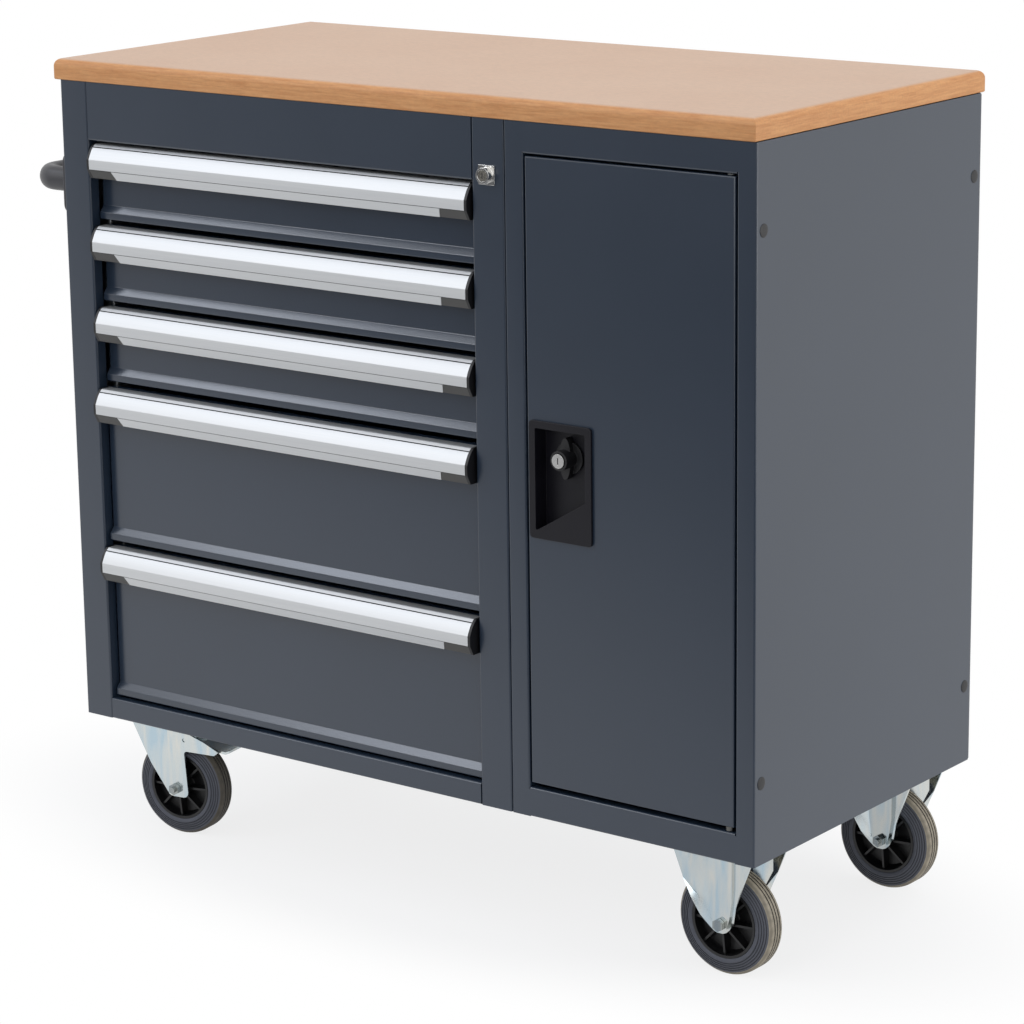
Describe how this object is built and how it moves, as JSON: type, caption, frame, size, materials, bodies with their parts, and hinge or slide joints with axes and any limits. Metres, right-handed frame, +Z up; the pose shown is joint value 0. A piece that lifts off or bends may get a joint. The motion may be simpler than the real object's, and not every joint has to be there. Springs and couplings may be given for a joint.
{
  "type": "tool cart",
  "caption": "Rolling workshop tool cart with a bank of drawers beside a door cupboard, a wooden worktop, a side push handle and braked swivel casters at one end.",
  "frame": {"origin": "on the floor under the middle of the whole cart's bounding box", "axes": "+X from the push handle end towards the door cupboard, +Y from the front to the back, +Z up"},
  "size_m": [1.071, 0.4888, 0.9763],
  "materials": {
    "body_panels": "fine matt powder coat",
    "drawer_fronts": "smooth satin powder coat",
    "inside_zinc": "galvanised sheet",
    "worktop_wood": "oiled multiplex board",
    "grip_aluminium": "satin anodised",
    "black_plastic": "fine moulded grain",
    "lock_chrome": "polished",
    "zinc_steel": "zinc plated",
    "tyre_rubber": "moulded rubber"
  },
  "bodies": {
    "cabinet": {"back_left_plate": "zinc_steel", "back_panel": "body_panels", "back_right_axle": "zinc_steel", "back_right_bracket": "zinc_steel", "cupboard_shelf": "body_panels", "door_cabinet_floor": "body_panels", "door_cabinet_header": "body_panels", "door_cabinet_left_side": "body_panels", "door_cabinet_right_side": "body_panels", "drawer_cabinet_floor": "body_panels", "drawer_cabinet_header": "body_panels", "drawer_cabinet_left_side": "body_panels", "drawer_cabinet_right_side": "body_panels", "drawer_lock_housing": "lock_chrome", "front_left_plate": "zinc_steel", "front_right_axle": "zinc_steel", "front_right_bracket": "zinc_steel", "hinge_pin_lower": "zinc_steel", "hinge_pin_upper": "zinc_steel", "push_handle": "black_plastic", "runner_wall_left": "inside_zinc", "runner_wall_right": "inside_zinc", "side_plug_1": "black_plastic", "side_plug_2": "black_plastic", "side_plug_3": "black_plastic", "side_plug_4": "black_plastic", "worktop": "worktop_wood"},
    "drawer_1": {"drawer_1_tray": "drawer_fronts", "drawer_1_grip": "grip_aluminium"},
    "drawer_2": {"drawer_2_tray": "drawer_fronts", "drawer_2_grip": "grip_aluminium"},
    "drawer_3": {"drawer_3_tray": "drawer_fronts", "drawer_3_grip": "grip_aluminium"},
    "drawer_4": {"drawer_4_tray": "drawer_fronts", "drawer_4_grip": "grip_aluminium", "drawer_4_front": "drawer_fronts"},
    "drawer_5": {"drawer_5_tray": "drawer_fronts", "drawer_5_grip": "grip_aluminium", "drawer_5_front": "drawer_fronts"},
    "door": {"door_leaf": "body_panels", "door_pocket": "black_plastic"},
    "knob": {"door_knob": "black_plastic", "door_latch_cam": "zinc_steel"},
    "door_key": {"door_key_plug": "lock_chrome"},
    "drawer_lock": {"drawer_lock_plug": "lock_chrome", "drawer_lock_cam": "zinc_steel"},
    "front_left_swivel": {"front_left_fork": "zinc_steel", "front_left_axle": "zinc_steel"},
    "front_left_lever": {"front_left_brake_lever": "zinc_steel"},
    "back_left_swivel": {"back_left_fork": "zinc_steel", "back_left_axle": "zinc_steel"},
    "back_left_lever": {"back_left_brake_lever": "zinc_steel"},
    "front_left_wheel": {"front_left_tyre": "tyre_rubber", "front_left_rim": "black_plastic"},
    "back_left_wheel": {"back_left_tyre": "tyre_rubber", "back_left_rim": "black_plastic"},
    "front_right_wheel": {"front_right_tyre": "tyre_rubber", "front_right_rim": "black_plastic"},
    "back_right_wheel": {"back_right_tyre": "tyre_rubber", "back_right_rim": "black_plastic"}
  },
  "joints": [
    {"name": "drawer_1_slide", "type": "slide", "parent": "cabinet", "child": "drawer_1", "axis": [0, -1, 0], "range_m": [0, 0.315]},
    {"name": "drawer_2_slide", "type": "slide", "parent": "cabinet", "child": "drawer_2", "axis": [0, -1, 0], "range_m": [0, 0.315]},
    {"name": "drawer_3_slide", "type": "slide", "parent": "cabinet", "child": "drawer_3", "axis": [0, -1, 0], "range_m": [0, 0.315]},
    {"name": "drawer_4_slide", "type": "slide", "parent": "cabinet", "child": "drawer_4", "axis": [0, -1, 0], "range_m": [0, 0.315]},
    {"name": "drawer_5_slide", "type": "slide", "parent": "cabinet", "child": "drawer_5", "axis": [0, -1, 0], "range_m": [0, 0.315]},
    {"name": "door_hinge", "type": "hinge", "parent": "cabinet", "child": "door", "pos_m": [0.4989, -0.22475, 0.553], "axis": [0, 0, 1], "range_deg": [0, 110]},
    {"name": "knob_turn", "type": "hinge", "parent": "door", "child": "knob", "pos_m": [0.2787, -0.23125, 0.579], "axis": [0, 1, 0], "range_deg": [0, 90]},
    {"name": "door_key_turn", "type": "hinge", "parent": "knob", "child": "door_key", "pos_m": [0.2787, -0.23125, 0.579], "axis": [0, 1, 0], "range_deg": [0, 90]},
    {"name": "drawer_lock_turn", "type": "hinge", "parent": "cabinet", "child": "drawer_lock", "pos_m": [0.181, -0.23125, 0.8885], "axis": [0, 1, 0], "range_deg": [0, 90]},
    {"name": "front_left_swivel_turn", "type": "hinge", "parent": "cabinet", "child": "front_left_swivel", "pos_m": [-0.3945, -0.16945, 0.152], "axis": [0, 0, 1], "continuous": true},
    {"name": "front_left_wheel_roll", "type": "hinge", "parent": "front_left_swivel", "child": "front_left_wheel", "pos_m": [-0.36282, -0.16494, 0.0625], "axis": [-0.1409, 0.99, 0], "continuous": true},
    {"name": "front_left_lever_press", "type": "hinge", "parent": "front_left_swivel", "child": "front_left_lever", "pos_m": [-0.34828, -0.16287, 0.12781], "axis": [0.1409, -0.99, 0], "range_deg": [0, 8]},
    {"name": "back_left_swivel_turn", "type": "hinge", "parent": "cabinet", "child": "back_left_swivel", "pos_m": [-0.3945, 0.17295, 0.152], "axis": [0, 0, 1], "continuous": true},
    {"name": "back_left_wheel_roll", "type": "hinge", "parent": "back_left_swivel", "child": "back_left_wheel", "pos_m": [-0.36262, 0.17574, 0.0625], "axis": [-0.0872, 0.9962, 0], "continuous": true},
    {"name": "back_left_lever_press", "type": "hinge", "parent": "back_left_swivel", "child": "back_left_lever", "pos_m": [-0.34799, 0.17702, 0.12781], "axis": [0.0872, -0.9962, 0], "range_deg": [0, 8]},
    {"name": "front_right_wheel_roll", "type": "hinge", "parent": "cabinet", "child": "front_right_wheel", "pos_m": [0.4635, -0.16945, 0.0625], "axis": [0, 1, 0], "continuous": true},
    {"name": "back_right_wheel_roll", "type": "hinge", "parent": "cabinet", "child": "back_right_wheel", "pos_m": [0.4635, 0.17295, 0.0625], "axis": [0, 1, 0], "continuous": true}
  ]
}
